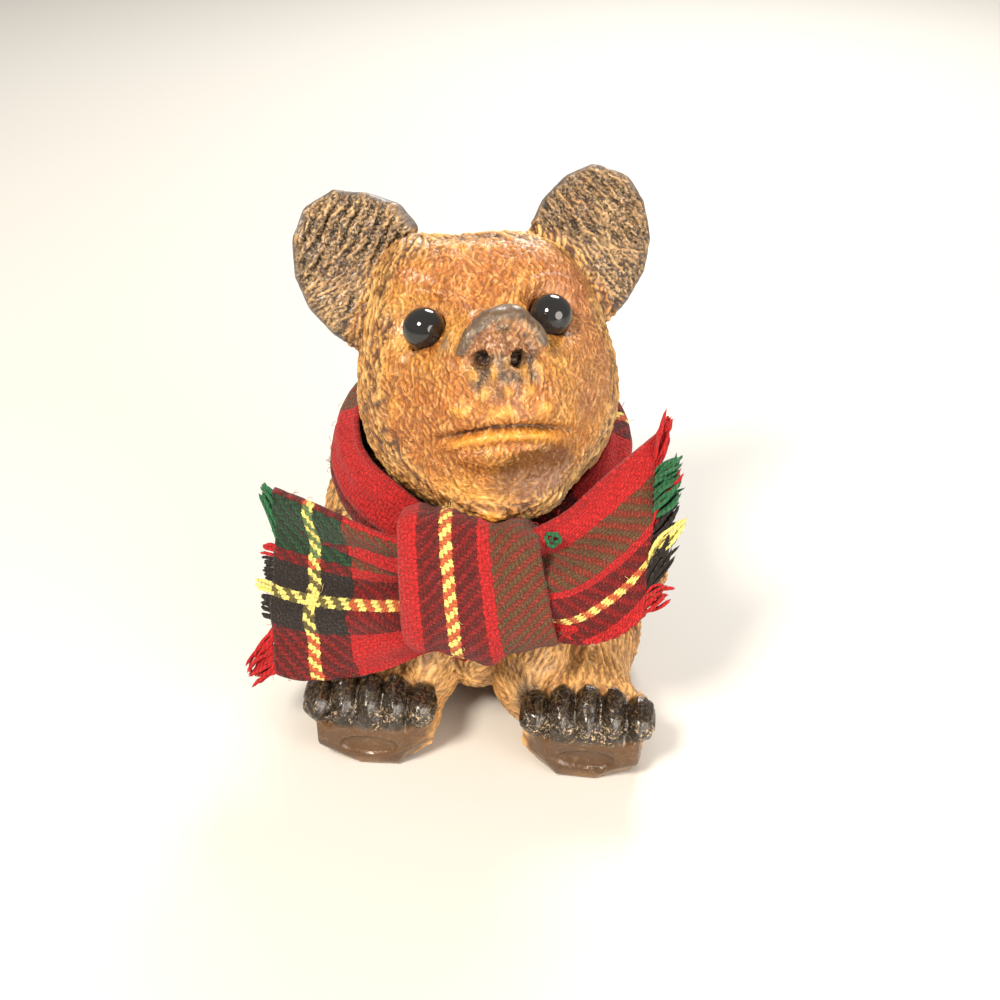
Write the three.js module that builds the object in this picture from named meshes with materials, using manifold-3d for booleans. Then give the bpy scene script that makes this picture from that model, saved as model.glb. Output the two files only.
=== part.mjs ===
// A hand-sized cast resin figurine: a seated bear cub, painted to look like carved wood, with two glass
// bead eyes and a woven scarf tied round its neck. Millimetres, +Z up. The bear faces -Y, and the
// origin is the middle of the flat underside that it sits on. Left and right are the viewer's.
import * as THREE from "three";
import { mergeVertices } from "three/addons/utils/BufferGeometryUtils.js";
import Module from "manifold-3d";

const wasm = await Module();
wasm.setup();

// Driving sizes
const figureHeight = 101;
const eyeDiameter = 7.6;
const eyeSunk = 0.4;
const socketClearance = 0.3;
const scarfClearance = 0.35;
const scarfWidth = 38;
const scarfThickness = 1.8;
const collarThickness = 4.5;
const knotDepth = 15;
const fringeLength = 6;
const padDepth = 0.8;
const mouthWidth = 1.3;
const nostrilDiameter = 3.3;
const earThickness = 5.5;

// The pose and the carving are drawn on squared paper, 101 squares from the seat to the ear tips.
const square = figureHeight / 101;
const at = (x, y, z) => new THREE.Vector3(x, y, z).multiplyScalar(square);

// Signed distances, negative inside. A form of the figure is a blend of these. A roundness of 2 gives
// an ellipsoid, and a larger one a flatter crown and squarer corners.
function ellipsoid(centre, radii, roundness = 2) {
  return (p) => {
    const x = Math.abs(p.x - centre.x) / radii.x;
    const y = Math.abs(p.y - centre.y) / radii.y;
    const z = Math.abs(p.z - centre.z) / radii.z;
    const near = (x ** roundness + y ** roundness + z ** roundness) ** (1 / roundness);
    const slope = Math.hypot(x / radii.x, y / radii.y, z / radii.z);
    const least = Math.min(radii.x, radii.y, radii.z);
    return slope < 1e-9 ? -least : ((near - 1) * Math.hypot(x, y, z)) / slope;
  };
}

function limb(start, end, startRadius, endRadius) {
  const along = end.clone().sub(start);
  return (p) => {
    const from = p.clone().sub(start);
    const t = THREE.MathUtils.clamp(from.dot(along) / along.lengthSq(), 0, 1);
    const radius = THREE.MathUtils.lerp(startRadius, endRadius, t);
    return from.distanceTo(along.clone().multiplyScalar(t)) - radius;
  };
}

function blend(width, fields) {
  return (p) =>
    fields
      .map((field) => field(p))
      .reduce((a, b) => {
        const close = Math.max(width - Math.abs(a - b), 0) / width;
        return Math.min(a, b) - (close * close * width) / 4;
      });
}

const mirrored = (make) => [-1, 1].map(make);

// Head, in its own axes: the face looks along -Y and the crown is up
const headCentre = at(-1.7, -6, 66);
const headYaw = THREE.MathUtils.degToRad(10.5);
const headPitch = THREE.MathUtils.degToRad(27);
const headRoll = THREE.MathUtils.degToRad(4);
const headMatrix = new THREE.Matrix4()
  .makeRotationFromEuler(new THREE.Euler(-headPitch, -headRoll, headYaw, "ZXY"))
  .setPosition(headCentre);

const skull = [
  ellipsoid(at(0, 1, -3), at(24.6, 23, 24.2)),
  ellipsoid(at(0, 3, 3), at(21.5, 20, 23.4), 3),
];
const muzzle = [
  ellipsoid(at(0, -15, -3), at(15.5, 15, 13)),
  ellipsoid(at(0, -12, -17), at(12.5, 9.5, 9.5)),
];
const snout = [
  ellipsoid(at(0, -25.5, 4.2), at(8.8, 6, 7.8)),
  ellipsoid(at(0, -23.5, -13), at(9.5, 4.2, 2.9)),
  ellipsoid(at(0, -14, -22.8), at(11, 5, 4)),
];
const muzzleForm = blend(6 * square, [...skull, ...muzzle]);
const headForm = blend(2.4 * square, [muzzleForm, ...snout]);

// Body, arms and legs, in the figure's own axes
const bodyForm = blend(8 * square, [
  ellipsoid(at(-0.5, 4, 28), at(25, 22, 26)),
  ellipsoid(at(-0.5, -5, 20), at(22, 19.5, 18)),
  ellipsoid(at(0, 10, 13), at(25, 18, 17)),
]);
const armForm = (side) =>
  blend(5 * square, [
    limb(at(side * 25.5 - 0.5, 2, 33.5), at(side * 26.5 - 0.5, -8, 25), 10.4 * square, 9 * square),
    limb(at(side * 26.5 - 0.5, -8, 25), at(side * 20, -23, 22.5), 8.4 * square, 6.4 * square),
  ]);
const legForm = (side) =>
  blend(6 * square, [
    ellipsoid(at(side * 17.5, -6, 12), at(13.5, 17, 14)),
    limb(at(side * 17, -12, 9.5), at(side * 18.5, -29, 8.3), 12.6 * square, 9.8 * square),
    ellipsoid(at(side * 20.6, -38, 6.6), at(12.2, 9, 7.6), 3),
  ]);
const tailForm = ellipsoid(at(0, 26.5, 9), at(5, 4.5, 4.5));

// Five toes stand out from the top and front of each foot, above the sole
const toeCount = 5;
const toePitch = 4.9;
const toeAcross = (side, toe) => side * 20.8 + (toe - (toeCount - 1) / 2) * toePitch;
const toeForm = (side, toe) => {
  const outward = (toe - (toeCount - 1) / 2) ** 2;
  return limb(
    at(toeAcross(side, toe), -38.8 + outward * 0.3, 15.4 - outward * 0.45),
    at(toeAcross(side, toe), -43.4 + outward * 0.2, 12.1),
    2.6 * square,
    2.8 * square,
  );
};

// How far out along a ray the surface is, by halving
function reach(form, from, direction, grow) {
  let inside = 0;
  let outside = figureHeight;
  for (let halving = 0; halving < 26; halving++) {
    const middle = (inside + outside) / 2;
    const p = from.clone().addScaledVector(direction, middle);
    if (form(p) < grow) inside = middle;
    else outside = middle;
  }
  return inside;
}

// Solids and meshes
function solidOf(geometry) {
  const bare = geometry.index ? geometry.toNonIndexed() : geometry.clone();
  bare.deleteAttribute("normal");
  bare.deleteAttribute("uv");
  const merged = mergeVertices(bare, 1e-4);
  return new wasm.Manifold(
    new wasm.Mesh({
      numProp: 3,
      vertProperties: merged.attributes.position.array,
      triVerts: new Uint32Array(merged.index.array),
    }),
  );
}

function meshOf(name, solid, material) {
  const { numProp, vertProperties, triVerts } = solid.getMesh();
  const geometry = new THREE.BufferGeometry();
  const shared = new THREE.InterleavedBuffer(vertProperties, numProp);
  geometry.setAttribute("position", new THREE.InterleavedBufferAttribute(shared, 3, 0));
  geometry.setIndex([...triVerts]);
  const faceted = geometry.toNonIndexed();
  faceted.computeVertexNormals();
  const mesh = new THREE.Mesh(faceted, material);
  mesh.name = name;
  return mesh;
}

function moved(geometry, move) {
  const position = geometry.attributes.position;
  for (let i = 0; i < position.count; i++) {
    const p = move(new THREE.Vector3().fromBufferAttribute(position, i));
    position.setXYZ(i, p.x, p.y, p.z);
  }
  return geometry;
}

// A ball pushed out to a form's surface, with its poles, where its faces are finest, along -Y and +Y
function castForm(form, centre, around, along, grow = 0) {
  const ball = new THREE.SphereGeometry(1, around, along).rotateX(-Math.PI / 2);
  return moved(ball, (p) => {
    const direction = p.normalize();
    return centre.clone().addScaledVector(direction, reach(form, centre, direction, grow));
  });
}

const join = (solids) => solids.reduce((all, solid) => all.add(solid));

// Ears: flat plates with a chamfered rim, standing out from the corners of the crown. The outline
// is whittled in straight cuts, and is the right ear's.
const earOutline = [
  [8, 18], [11.4, 27.3], [14.2, 31.7], [19.1, 35.7], [24.8, 37.3], [30.5, 34.5],
  [33.4, 29.3], [33.9, 22.1], [32, 16], [27.8, 10.4], [20, 4],
];
function ear(side, grow = 0) {
  const points = earOutline.map(([x, z]) => new THREE.Vector2(side * x, z).multiplyScalar(square));
  const chamfer = earThickness * 0.3;
  return new THREE.ExtrudeGeometry(new THREE.Shape(points), {
    depth: earThickness - 2 * chamfer,
    bevelThickness: chamfer + grow,
    bevelSize: chamfer + grow,
    bevelOffset: -chamfer,
    bevelSegments: 1,
    steps: 1,
  })
    .translate(0, 0, chamfer)
    .rotateX(Math.PI / 2)
    .translate(0, 3 * square, 0);
}

// The figure before its sockets and mouth are cut. grow makes it larger all over.
function castFigure(grow = 0) {
  const head = [
    castForm(headForm, at(0, -8, -2), 32, 24, grow),
    ...mirrored((side) => ear(side, grow)),
  ].map((geometry) => solidOf(geometry.applyMatrix4(headMatrix)));
  const trunk = [
    castForm(bodyForm, at(0, 3, 22), 24, 14, grow),
    castForm(tailForm, at(0, 26.5, 9), 10, 6, grow),
    ...mirrored((side) => castForm(armForm(side), at(side * 25, -6, 27), 14, 10, grow)),
    ...mirrored((side) => castForm(legForm(side), at(side * 19, -24, 9), 18, 16, grow)),
  ];
  const toes = mirrored((side) =>
    Array.from({ length: toeCount }, (_, toe) => {
      const middle = at(toeAcross(side, toe), -41, 13.5);
      return castForm(toeForm(side, toe), middle, 8, 5, grow);
    }),
  ).flat();
  const standing = join([...head, ...trunk.map(solidOf)])
    .subtract(cutter(at(0, 0, -grow / square), new THREE.Vector3(0, 0, -1)))
    .subtract(cutter(solePoint.clone().addScaledVector(soleNormal, grow), soleNormal));
  return join([standing, ...toes.map(solidOf)]);
}

// A block below a plane, to cut the underside or a sole flat
function cutter(centre, normal) {
  const size = 2 * figureHeight;
  const block = new THREE.BoxGeometry(size, size, size).translate(0, 0, size / 2);
  const turn = new THREE.Quaternion().setFromUnitVectors(new THREE.Vector3(0, 0, 1), normal);
  return solidOf(block.applyQuaternion(turn).translate(centre.x, centre.y, centre.z));
}

// The face's front surface at a place across and up, in the head's axes
function onFace(x, z) {
  const start = at(x, 0, z);
  const forward = new THREE.Vector3(0, -1, 0);
  return start.addScaledVector(forward, reach(headForm, start, forward, 0));
}

const eyePlaces = mirrored((side) => onFace(side * 11.3, 9.4).add(new THREE.Vector3(0, eyeSunk, 0)));
const eyeBall = (place, radius) =>
  new THREE.SphereGeometry(radius, 14, 8).rotateX(Math.PI / 2).translate(place.x, place.y, place.z);

function mouth() {
  const corners = [
    [-10.5, -10.8], [-5, -9.7], [0, -9.2], [5, -9.4], [10.5, -10.2],
  ];
  const line = new THREE.CatmullRomCurve3(corners.map(([x, z]) => onFace(x, z)));
  const section = new THREE.Shape().absarc(0, 0, mouthWidth / 2, 0, 2 * Math.PI);
  return new THREE.ExtrudeGeometry(section, {
    extrudePath: line,
    steps: 10,
    curveSegments: 2,
    bevelEnabled: false,
  });
}

const nostrils = () =>
  mirrored((side) => {
    const place = onFace(side * 3.6, 2.6);
    return new THREE.SphereGeometry(nostrilDiameter / 2, 8, 6)
      .scale(1, 1.3, 1.1)
      .translate(place.x, place.y, place.z);
  });

// Soles stand upright and face forward, and each has an oval pad carved in it
const soleLean = 0.05;
const soleNormal = new THREE.Vector3(0, -Math.cos(soleLean), -Math.sin(soleLean));
const solePoint = at(0, -44.8, 0);
const padCentre = [20.8, 5];
function solePad(side) {
  const oval = new THREE.Shape().absellipse(0, 0, 5.6 * square, 2.3 * square, 0, 2 * Math.PI);
  const plug = new THREE.ExtrudeGeometry(oval, {
    depth: 2 * padDepth,
    curveSegments: 8,
    bevelEnabled: false,
  }).translate(0, 0, -padDepth);
  const turn = new THREE.Quaternion().setFromUnitVectors(new THREE.Vector3(0, 0, 1), soleNormal);
  const [across, up] = padCentre;
  const centre = solePoint.clone().add(at(side * across, -Math.sin(soleLean) * up, Math.cos(soleLean) * up));
  return plug.applyQuaternion(turn).translate(centre.x, centre.y, centre.z);
}

// The scarf's collar: folded cloth that fills the crease between the head and the shoulders. It is
// a ring, and its cloth turns outward in rolls that wander a little up and down round the neck.
const collarCentre = at(-3.5, -3.5, 47.5);
const collarLean = THREE.MathUtils.degToRad(20);
const collarAcross = 25.5 * square;
const collarDeep = 24 * square;
const collarWidth = 15 * square;
const neckFill = 8 * square;
const rollCount = 3;
const rollDepth = 0.08;
function collar() {
  const tilt = new THREE.Matrix4().makeRotationX(collarLean).setPosition(collarCentre);
  const tube = 0.5;
  return moved(new THREE.TorusGeometry(1, tube, 10, 30), (p) => {
    const ring = Math.atan2(p.y, p.x);
    const out = (Math.hypot(p.x, p.y) - 1) / tube;
    const up = p.z / tube;
    const roll = 1 + rollDepth * Math.cos(rollCount * Math.PI * up + 2 * ring);
    const depth = out > 0 ? collarThickness * out * roll : neckFill * out;
    return new THREE.Vector3(
      Math.cos(ring) * (collarAcross + depth),
      Math.sin(ring) * (collarDeep + depth),
      (collarWidth / 2) * up,
    ).applyMatrix4(tilt);
  });
}

// The knot: one turn of cloth over the crossing, gathered to a block whose edges are drawn in
const knotCentre = at(-0.7, -36.5, 38.5);
const knotWidth = 27 * square;
const knotHeight = 24.5 * square;
const knotLean = THREE.MathUtils.degToRad(17);
const edgeDraw = 0.25;
function knot() {
  const place = new THREE.Matrix4().makeRotationX(-knotLean).setPosition(knotCentre);
  const drawn = (a, b) => Math.sqrt((1 - edgeDraw * a ** 2) * (1 - edgeDraw * b ** 2));
  return moved(new THREE.BoxGeometry(2, 2, 2, 6, 4, 4), ({ x, y, z }) =>
    new THREE.Vector3(
      (knotWidth / 2) * x * Math.sqrt(1 - edgeDraw * y ** 2),
      (knotDepth / 2) * y * drawn(x, z),
      (knotHeight / 2) * z * Math.sqrt(1 - edgeDraw * y ** 2),
    ).applyMatrix4(place),
  );
}

// The two ends of the scarf. Each leaves the knot gathered, and opens to the cloth's full width. The
// upper edge is a curve, and the cloth runs from it across to the lower edge.
const ends = [
  {
    upper: [at(-10, -33, 44), at(-19, -30.5, 45.5), at(-30.5, -24.5, 46), at(-42.8, -16.5, 44.6)],
    acrossAtKnot: new THREE.Vector3(0.05, -0.24, -0.97),
    acrossAtEnd: new THREE.Vector3(0.075, -0.59, -0.81),
    spread: 1,
    fold: 1,
  },
  {
    upper: [at(8, -34, 48.5), at(16, -30, 52), at(24, -22, 57), at(32, -13.5, 61)],
    acrossAtKnot: new THREE.Vector3(0.08, -0.25, -0.97),
    acrossAtEnd: new THREE.Vector3(0.09, -0.68, -0.73),
    spread: 0.87,
    fold: -1,
  },
];
const gather = 0.52;
const foldDepth = 1.3 * square;
const foldCount = 1.5;
const tuftCount = 9;

// A place on an end: share runs from 0 at the knot to 1 at the last weft, and past it into the fringe,
// across runs from 0 to 1 from edge to edge, and side is the distance from the middle of the cloth
function onEnd({ upper, acrossAtKnot, acrossAtEnd, spread, fold }, share, across, side) {
  const edge = new THREE.CatmullRomCurve3(upper);
  const along = edge.getTangent(Math.min(share, 1));
  const down = acrossAtKnot.clone().lerp(acrossAtEnd, Math.min(share, 1)).normalize();
  const normal = down.clone().cross(along).normalize();
  const open = Math.min(share, 1);
  const width = scarfWidth * THREE.MathUtils.lerp(gather, spread, open);
  const phase = 2 * Math.PI * (foldCount * across + 0.25 * share);
  const wave = foldDepth * fold * Math.sin(phase) * (1 - 0.5 * open);
  return edge
    .getPoint(Math.min(share, 1))
    .addScaledVector(along, Math.max(share - 1, 0) * edge.getLength())
    .addScaledVector(down, across * width)
    .addScaledVector(normal, wave + side);
}

function endPanel(end) {
  return moved(new THREE.BoxGeometry(1, 1, 1, 7, 9, 1), (p) =>
    onEnd(end, p.x + 0.5, 0.5 - p.y, p.z * scarfThickness),
  );
}

// The fringe: tufts of yarn past the last weft, each a wedge that narrows to its tip. Its root lies
// inside the cloth's end.
const tuftRoot = 0.98;
function fringe(end) {
  const length = new THREE.CatmullRomCurve3(end.upper).getLength();
  return Array.from({ length: tuftCount }, (_, tuft) => {
    const tuftLength = fringeLength * (0.8 + 0.2 * Math.sin(2.4 * tuft));
    return moved(new THREE.BoxGeometry(1, 1, 1), (p) => {
      const tip = p.x + 0.5;
      const share = THREE.MathUtils.lerp(tuftRoot, 1 + tuftLength / length, tip);
      const halfWidth = THREE.MathUtils.lerp(0.42, 0.2, tip) / tuftCount;
      const across = (tuft + 0.5) / tuftCount - 2 * p.y * halfWidth;
      return onEnd(end, share, across, p.z * scarfThickness * THREE.MathUtils.lerp(0.8, 0.5, tip));
    });
  });
}

const placeInHead = (geometry) => solidOf(geometry.applyMatrix4(headMatrix));
const figure = castFigure()
  .subtract(join(mirrored((side) => solidOf(solePad(side)))))
  .subtract(join(eyePlaces.map((place) => placeInHead(eyeBall(place, eyeDiameter / 2 + socketClearance)))))
  .subtract(placeInHead(mouth()))
  .subtract(join(nostrils().map(placeInHead)));
const scarf = join(
  [collar(), knot(), ...ends.map(endPanel), ...ends.flatMap(fringe)].map(solidOf),
).subtract(castFigure(scarfClearance));

const resin = new THREE.MeshStandardMaterial({ color: 0xb9772f, roughness: 0.45, metalness: 0 });
const glass = new THREE.MeshStandardMaterial({ color: 0x111214, roughness: 0.08, metalness: 0 });
const cloth = new THREE.MeshStandardMaterial({ color: 0xa01420, roughness: 0.9, metalness: 0 });

const object = new THREE.Group();
object.add(meshOf("bear", figure, resin));
eyePlaces.forEach((place, i) => {
  const bead = placeInHead(eyeBall(place, eyeDiameter / 2));
  object.add(meshOf(i ? "eye_right" : "eye_left", bead, glass));
});
object.add(meshOf("scarf", scarf, cloth));

export default object;
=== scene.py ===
import math

import bpy
import numpy as np
from mathutils import Matrix, Vector
from mathutils.bvhtree import BVHTree
from mathutils.kdtree import KDTree


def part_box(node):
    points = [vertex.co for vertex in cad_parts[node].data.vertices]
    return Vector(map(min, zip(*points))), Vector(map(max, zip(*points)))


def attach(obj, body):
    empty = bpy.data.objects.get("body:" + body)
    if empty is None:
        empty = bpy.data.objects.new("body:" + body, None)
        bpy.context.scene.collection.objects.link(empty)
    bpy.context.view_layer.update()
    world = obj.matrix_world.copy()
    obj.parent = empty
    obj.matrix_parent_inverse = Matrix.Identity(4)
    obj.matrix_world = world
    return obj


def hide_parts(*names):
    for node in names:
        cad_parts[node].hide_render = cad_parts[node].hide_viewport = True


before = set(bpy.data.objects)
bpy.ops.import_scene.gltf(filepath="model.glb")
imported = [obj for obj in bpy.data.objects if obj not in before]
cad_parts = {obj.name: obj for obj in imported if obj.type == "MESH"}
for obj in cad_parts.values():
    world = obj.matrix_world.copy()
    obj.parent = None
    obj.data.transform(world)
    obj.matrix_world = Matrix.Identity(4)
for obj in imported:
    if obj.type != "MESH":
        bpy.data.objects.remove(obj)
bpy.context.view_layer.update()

# The setting: a pale seamless floor, a soft key light from the upper left, a wide fill and a low rim.
# The camera looks down at the bear from in front, a little from the right. Left and right are the viewer's.
bpy.ops.object.select_all(action="DESELECT")
bpy.ops.mesh.primitive_plane_add(size=4, location=(0, 0.9, -0.0002))
floor = bpy.context.object
floor.name = "floor"
floor_material = bpy.data.materials.new("pale_floor")
floor_material.use_nodes = True
floor_finish = floor_material.node_tree.nodes["Principled BSDF"]
floor_finish.inputs["Base Color"].default_value = (0.56, 0.555, 0.54, 1)
floor_finish.inputs["Roughness"].default_value = 0.55
floor.data.materials.append(floor_material)

bear_middle = Vector((0, -0.005, 0.045))
for name, place, size, power, tint in (
    ("key", (-0.26, -0.46, 0.62), 0.20, 9.5, (1.0, 0.89, 0.74)),
    ("fill", (0.5, -0.45, 0.26), 0.5, 5.2, (1.0, 0.93, 0.84)),
    ("rim", (0.1, 0.6, 0.5), 0.3, 5.0, (1.0, 0.96, 0.9)),
):
    bpy.ops.object.light_add(type="AREA", location=place)
    lamp = bpy.context.object
    lamp.name = name
    lamp.data.shape = "DISK"
    lamp.data.size = size
    lamp.data.energy = power
    lamp.data.color = tint
    lamp.rotation_euler = (bear_middle - lamp.location).to_track_quat("-Z", "Y").to_euler()
world = bpy.data.worlds.new("studio")
bpy.context.scene.world = world
world.use_nodes = True
world.node_tree.nodes["Background"].inputs["Color"].default_value = (1.0, 0.955, 0.89, 1)
world.node_tree.nodes["Background"].inputs["Strength"].default_value = 0.42
bpy.context.scene.view_settings.view_transform = "Standard"

camera_azimuth = math.radians(5.5)
camera_pitch = math.radians(33)
bpy.ops.object.camera_add(location=(0.0220, -0.2259, 0.1810))
camera = bpy.context.object
camera.data.sensor_width = 36
camera.data.lens = 46.8
camera.data.clip_start = 0.01
look = Vector((
    -math.sin(camera_azimuth) * math.cos(camera_pitch),
    math.cos(camera_azimuth) * math.cos(camera_pitch),
    -math.sin(camera_pitch),
))
camera.rotation_euler = look.to_track_quat("-Z", "Y").to_euler()
bpy.context.scene.camera = camera

# The bear: one resin casting, made in a mould taken from a model that was carved with a small gouge.
# It is painted honey brown, with black ears, nose and toes, and a dark wash that settles in the cuts.
# The casting's solid is copied, rounded off, carved stroke by stroke and then painted.
def pick(*pieces):
    """Selects these pieces alone and makes the first one active."""
    bpy.ops.object.select_all(action="DESELECT")
    for piece in pieces:
        piece.select_set(True)
    bpy.context.view_layer.objects.active = pieces[0]


pick(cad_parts["bear"])
bpy.ops.object.duplicate()
bear = bpy.context.object
bear.name = "bear_casting"
bear.data.name = "bear_casting"
bpy.ops.object.mode_set(mode="EDIT")
bpy.ops.mesh.select_all(action="SELECT")
bpy.ops.mesh.remove_doubles(threshold=0.00001)
bpy.ops.object.mode_set(mode="OBJECT")

# The thighs nearly meet under the belly: three soft masses fill the arch between the legs.
masses = []
for middle, radii in (
    ((9.4, -26.5, 13.0), (8.6, 11.5, 12.4)),
    ((-11.8, -26.0, 13.5), (7.2, 11.5, 12.2)),
    ((-2.0, -21.0, 15.5), (8.0, 12.5, 10.5)),
):
    bpy.ops.object.select_all(action="DESELECT")
    bpy.ops.mesh.primitive_uv_sphere_add(segments=32, ring_count=16, radius=0.001, location=Vector(middle) / 1000)
    masses.append(bpy.context.object)
    bpy.ops.transform.resize(value=radii)
    bpy.ops.object.transform_apply(location=True, rotation=True, scale=True)
pick(bear, *masses)
bpy.ops.object.join()
bear.data.remesh_voxel_size = 0.00036
bear.data.remesh_voxel_adaptivity = 0
bpy.ops.object.voxel_remesh()


def mesh_places(mesh):
    """The places of the vertices, in millimetres."""
    places = np.empty(len(mesh.vertices) * 3)
    mesh.vertices.foreach_get("co", places)
    return places.reshape(-1, 3) * 1000


def mesh_normals(mesh):
    normals = np.empty(len(mesh.vertices) * 3)
    mesh.vertex_normals.foreach_get("vector", normals)
    return normals.reshape(-1, 3)


def put_places(mesh, places):
    mesh.vertices.foreach_set("co", (places / 1000).ravel())
    mesh.update()


def ease(values, low, high):
    """Rises smoothly from 0 at low to 1 at high."""
    share = np.clip((values - low) / (high - low), 0, 1)
    return share * share * (3 - 2 * share)


# The head's own axes, in millimetres: the face looks along -Y and the crown is up.
head_centre = np.array((-1.7, -6.0, 66.0))
head_turn = np.array(
    Matrix.Rotation(math.radians(10.5), 3, "Z")
    @ Matrix.Rotation(math.radians(-27), 3, "X")
    @ Matrix.Rotation(math.radians(-4), 3, "Y")
)
eye_radius = 3.8
eye_middles = [
    np.array((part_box(node)[0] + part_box(node)[1]) / 2) * 1000 for node in ("eye_left", "eye_right")
]

# The facets of the solid are rubbed away, gently where the nose, mouth, toes and soles are small.
places = mesh_places(bear.data)
head = (places - head_centre) @ head_turn
head_x, head_y, head_z = head.T
at_x, at_y, at_z = places.T
on_feet = 0.75 * ease(-at_y, 30, 34) * ease(-at_z, -21, -17)
on_muzzle = 0.7 * ease(-head_y, 20, 24) * ease(head_z, -4, -1) * ease(-head_z, -15, -11)
on_base = ease(-at_z, -2.5, -1)
tight = np.maximum.reduce([on_feet, on_muzzle, on_base])
loose = bear.vertex_groups.new(name="loose")
for level in range(5):
    chosen = np.nonzero(np.round(tight * 4) == level)[0]
    if len(chosen):
        loose.add([int(i) for i in chosen], 1 - level / 4, "REPLACE")
# The facets show most across the lips and the nostrils, so those are rubbed far longer.
lips = bear.vertex_groups.new(name="lips")
near_lips = (np.abs(head_x) < 13) & (np.abs(head_z + 10) < 3) & (head_y < -12)
near_lips |= (np.abs(np.abs(head_x) - 3.6) < 2.9) & (np.abs(head_z - 2.6) < 2.9) & (head_y < -20)
lips.add([int(i) for i in np.nonzero(near_lips)[0]], 1, "REPLACE")


def rub(piece, factor, rounds, group=""):
    """Smooths the active piece, all over or in one vertex group."""
    smooth = piece.modifiers.new("rub", "SMOOTH")
    smooth.factor = factor
    smooth.iterations = rounds
    smooth.vertex_group = group
    bpy.ops.object.modifier_apply(modifier=smooth.name)


rub(bear, 0.5, 3)
rub(bear, 0.5, 22, "loose")
rub(bear, 0.6, 150, "lips")

places = mesh_places(bear.data)
normals = mesh_normals(bear.data)
head = (places - head_centre) @ head_turn
head_x, head_y, head_z = head.T
at_x, at_y, at_z = places.T
head_normals = normals @ head_turn


# Places on the face are drawn as x and z of the head's axes, on its front.
def along_line(points, across=head_x, up=head_z):
    """The distance to a drawn line and the share of its length at the nearest place on it."""
    points = np.array(points, float)
    steps = np.linalg.norm(np.diff(points, axis=0), axis=1)
    starts = np.concatenate([[0], np.cumsum(steps)])
    near = np.full(len(across), 1e9)
    share = np.zeros(len(across))
    side = np.zeros(len(across))
    for i, step in enumerate(steps):
        way = (points[i + 1] - points[i]) / step
        run = np.clip((across - points[i, 0]) * way[0] + (up - points[i, 1]) * way[1], 0, step)
        dx = across - points[i, 0] - run * way[0]
        dz = up - points[i, 1] - run * way[1]
        away = np.hypot(dx, dz)
        closer = away < near
        near[closer] = away[closer]
        share[closer] = ((starts[i] + run) / starts[-1])[closer]
        side[closer] = (np.sign(way[0] * dz - way[1] * dx))[closer]
    return near, share, side


def bump(distance, half_width):
    """A round bump: 1 in its middle and 0 at half_width."""
    return np.clip(1 - (distance / half_width) ** 2, 0, 1) ** 2


def spot(x, z, rx, rz, turn=0.0):
    """An oval bump on the face, turned by some degrees."""
    dx = head_x - x
    dz = head_z - z
    c, s = math.cos(math.radians(turn)), math.sin(math.radians(turn))
    return bump(np.hypot((dx * c + dz * s) / rx, (dz * c - dx * s) / rz), 1)


front = ease(-head_y, 6, 12) * ease(-head_normals[:, 1], 0.0, 0.25)
carved = np.zeros(len(places))

nostrils = ((-2.7, 2.9), (3.8, 2.3))

# The nose: a smooth arch over a rough front, with drips and lobes of putty between it and the lip.
arch_line = ((-5.8, 4.6), (-4.0, 7.4), (-1.0, 9.6), (2.4, 10.4), (5.4, 9.3), (7.6, 6.6), (8.3, 4.6))
near, share, _ = along_line(arch_line)
on_arch = bump(near, 2.0 - 0.7 * np.abs(2 * share - 1)) * front
within_arch = ease(-np.hypot((head_x - 1.0) / 7.4, (head_z - 2.2) / 7.6), -1.02, -0.8) * front
carved += 1.0 * on_arch - 0.35 * bump(near - 2.2, 1.1) * front
carved -= 0.5 * within_arch * (1 - on_arch)
on_drips = np.zeros(len(places))
for x, z, rx, rz, height, turn in (
    (-0.9, 0.4, 1.1, 3.4, 0.9, -8),
    (4.6, 0.0, 1.2, 3.0, 0.9, 6),
    (-4.6, 1.0, 1.6, 2.6, 0.6, 20),
    (1.6, 3.6, 1.1, 4.2, 0.6, 0),
    (7.0, 1.6, 1.0, 3.2, 0.6, 10),
    (-2.6, -2.6, 1.6, 1.7, 0.6, 0),
    (1.4, -3.0, 1.5, 1.9, 0.7, 10),
    (5.0, -2.9, 1.6, 2.1, 0.8, -15),
    (7.4, -6.4, 2.9, 2.0, 0.9, 25),
    (-7.2, -5.2, 2.4, 1.8, 0.7, -20),
    (0.4, -6.3, 3.4, 1.6, 0.5, 0),
):
    lump = spot(x, z, rx, rz, turn) * front
    carved += height * lump
    on_drips = np.maximum(on_drips, lump)
hollow = np.zeros(len(places))
for x, z in nostrils:
    carved -= 2.6 * spot(x, z, 1.6, 1.8) * front
    carved += 0.4 * bump(np.hypot(head_x - x, head_z - z) - 1.8, 0.8) * front
    hollow = np.maximum(hollow, spot(x, z, 1.8, 2.0) * front)

# The mouth: a thin straight cut above a rounded lip, over a scooped chin with a raised rim.
mouth_line = ((-12.4, -10.0), (-9.4, -9.6), (-6.4, -9.2), (-2.6, -8.9),
              (1.6, -9.0), (6.0, -9.5), (9.8, -10.3), (12.6, -11.0))
near, share, side = along_line(mouth_line)
taper = np.clip(4 * np.minimum(share, 1 - share) + 0.25, 0, 1)
lip_taper = np.clip(5 * np.minimum(share, 1 - share), 0, 1)
below = np.where(side < 0, near, -near)
on_cut = bump(near, 0.62) * taper * front
on_lip = bump(below - 1.5, 1.35) * lip_taper * front
carved += 0.9 * on_lip - 1.3 * on_cut + 0.55 * bump(below + 1.5, 1.4) * taper * front
carved -= 0.45 * bump(below - 3.3, 0.8) * lip_taper * front
scoop = spot(5.2, -17.8, 12.0, 6.4, 12) * front
carved -= 1.1 * scoop
rim_line = ((-17.0, -13.5), (-13.0, -19.0), (-8.4, -22.2), (-3.0, -24.0), (3.0, -23.8), (9.0, -21.2), (15.0, -16.5))
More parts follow.
